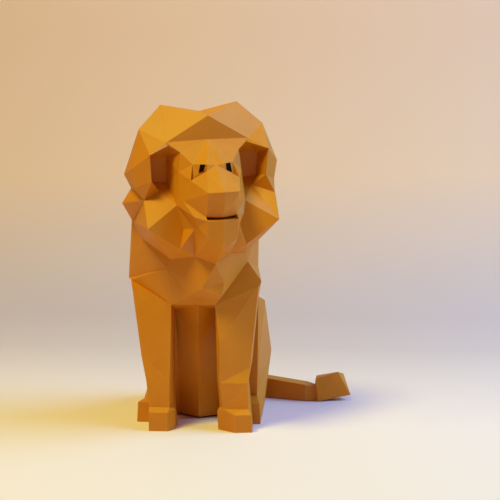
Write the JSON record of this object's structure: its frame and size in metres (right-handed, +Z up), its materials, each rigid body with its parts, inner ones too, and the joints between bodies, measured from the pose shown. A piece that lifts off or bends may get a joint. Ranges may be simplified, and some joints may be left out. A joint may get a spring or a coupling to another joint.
{
  "type": "papercraft lion",
  "caption": "Sitting low-poly lion of folded golden-brown card, its head turned to one side and its tail lying on the floor with an angular tuft.",
  "frame": {"origin": "on the floor, on the underside of the base card, on the body's middle plane", "axes": "+Z up, the body faces -Y, and the lion's left side is +X"},
  "size_m": [0.2242, 0.247, 0.3203],
  "materials": {
    "golden_card": "matt",
    "black_card": "matt"
  },
  "bodies": {
    "root": {"back": "golden_card", "base": "golden_card", "beard": "golden_card", "belly": "golden_card", "cheek_l": "golden_card", "cheek_r": "golden_card", "chest": "golden_card", "chin": "golden_card", "crest_l": "golden_card", "crest_r": "golden_card", "ear_l": "golden_card", "ear_r": "golden_card", "eye_l": "black_card", "eye_r": "black_card", "face": "golden_card", "foreleg_l": "golden_card", "foreleg_r": "golden_card", "forepaw_l": "golden_card", "forepaw_r": "golden_card", "foreshin_l": "golden_card", "foreshin_r": "golden_card", "haunch_l": "golden_card", "haunch_r": "golden_card", "hind_paw_l": "golden_card", "hind_paw_r": "golden_card", "hood": "golden_card", "lock_l": "golden_card", "lock_r": "golden_card", "mane_back_l": "golden_card", "mane_back_r": "golden_card", "mane_lower_l": "golden_card", "mane_lower_r": "golden_card", "mane_rear": "golden_card", "mane_side_l": "golden_card", "mane_side_r": "golden_card", "mane_top": "golden_card", "muzzle": "golden_card", "ruff": "golden_card", "rump": "golden_card", "shoulder_l": "golden_card", "shoulder_r": "golden_card", "tail_cuff": "golden_card", "tail_end": "golden_card", "tail_middle": "golden_card", "tail_root": "golden_card", "tail_tuft": "golden_card", "thigh_l": "golden_card", "thigh_r": "golden_card"}
  },
  "joints": []
}
